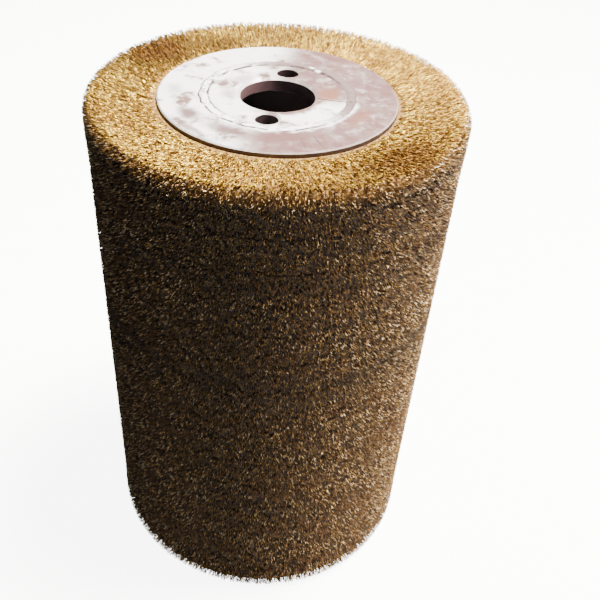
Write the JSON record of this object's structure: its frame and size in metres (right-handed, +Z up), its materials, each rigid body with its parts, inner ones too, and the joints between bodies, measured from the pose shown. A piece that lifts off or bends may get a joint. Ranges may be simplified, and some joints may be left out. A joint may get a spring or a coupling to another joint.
{
  "type": "wire drum brush",
  "caption": "Cylindrical wire brush: ring sections of crimped brass wire stacked on a steel pipe, between welded end flanges with an arbor bore and two drive pin holes.",
  "frame": {"origin": "centre of the lower end face, where the brush stands on its end", "axes": "+Z up along the spin axis; the drive pin holes of both ends lie on the Y axis; the drive key and the punch mark of the weld lie on +X"},
  "size_m": [0.254, 0.254, 0.39],
  "materials": {
    "brass_wire": "fine crimped brass wire, straw gold at the tips, browned with grime between them",
    "end_plate_steel": "turned and ground mild steel with rust-pink stains",
    "hub_steel": "turned mild steel with scribed centre lines and light rust",
    "weld_metal": "weld bead ground almost flush, bright",
    "pipe_steel": "mill-scaled steel pipe, dark",
    "channel_steel": "pressed steel sheet",
    "retaining_wire_steel": "drawn steel wire",
    "key_steel": "bright drawn steel bar"
  },
  "bodies": {
    "root": {"core_pipe": "pipe_steel", "drive_key": "key_steel", "lower_flange_ring": "end_plate_steel", "lower_hub_disc": "hub_steel", "lower_weld_bead": "weld_metal", "upper_flange_ring": "end_plate_steel", "upper_hub_disc": "hub_steel", "upper_weld_bead": "weld_metal", "section_01_channel": "channel_steel", "section_01_retaining_wire": "retaining_wire_steel", "section_01_wire_fill": "brass_wire", "section_02_channel": "channel_steel", "section_02_retaining_wire": "retaining_wire_steel", "section_02_wire_fill": "brass_wire", "section_03_channel": "channel_steel", "section_03_retaining_wire": "retaining_wire_steel", "section_03_wire_fill": "brass_wire", "section_04_channel": "channel_steel", "section_04_retaining_wire": "retaining_wire_steel", "section_04_wire_fill": "brass_wire", "section_05_channel": "channel_steel", "section_05_retaining_wire": "retaining_wire_steel", "section_05_wire_fill": "brass_wire", "section_06_channel": "channel_steel", "section_06_retaining_wire": "retaining_wire_steel", "section_06_wire_fill": "brass_wire", "section_07_channel": "channel_steel", "section_07_retaining_wire": "retaining_wire_steel", "section_07_wire_fill": "brass_wire", "section_08_channel": "channel_steel", "section_08_retaining_wire": "retaining_wire_steel", "section_08_wire_fill": "brass_wire", "section_09_channel": "channel_steel", "section_09_retaining_wire": "retaining_wire_steel", "section_09_wire_fill": "brass_wire", "section_10_channel": "channel_steel", "section_10_retaining_wire": "retaining_wire_steel", "section_10_wire_fill": "brass_wire", "section_11_channel": "channel_steel", "section_11_retaining_wire": "retaining_wire_steel", "section_11_wire_fill": "brass_wire", "section_12_channel": "channel_steel", "section_12_retaining_wire": "retaining_wire_steel", "section_12_wire_fill": "brass_wire", "section_13_channel": "channel_steel", "section_13_retaining_wire": "retaining_wire_steel", "section_13_wire_fill": "brass_wire", "section_14_channel": "channel_steel", "section_14_retaining_wire": "retaining_wire_steel", "section_14_wire_fill": "brass_wire", "section_15_channel": "channel_steel", "section_15_retaining_wire": "retaining_wire_steel", "section_15_wire_fill": "brass_wire"}
  },
  "joints": []
}
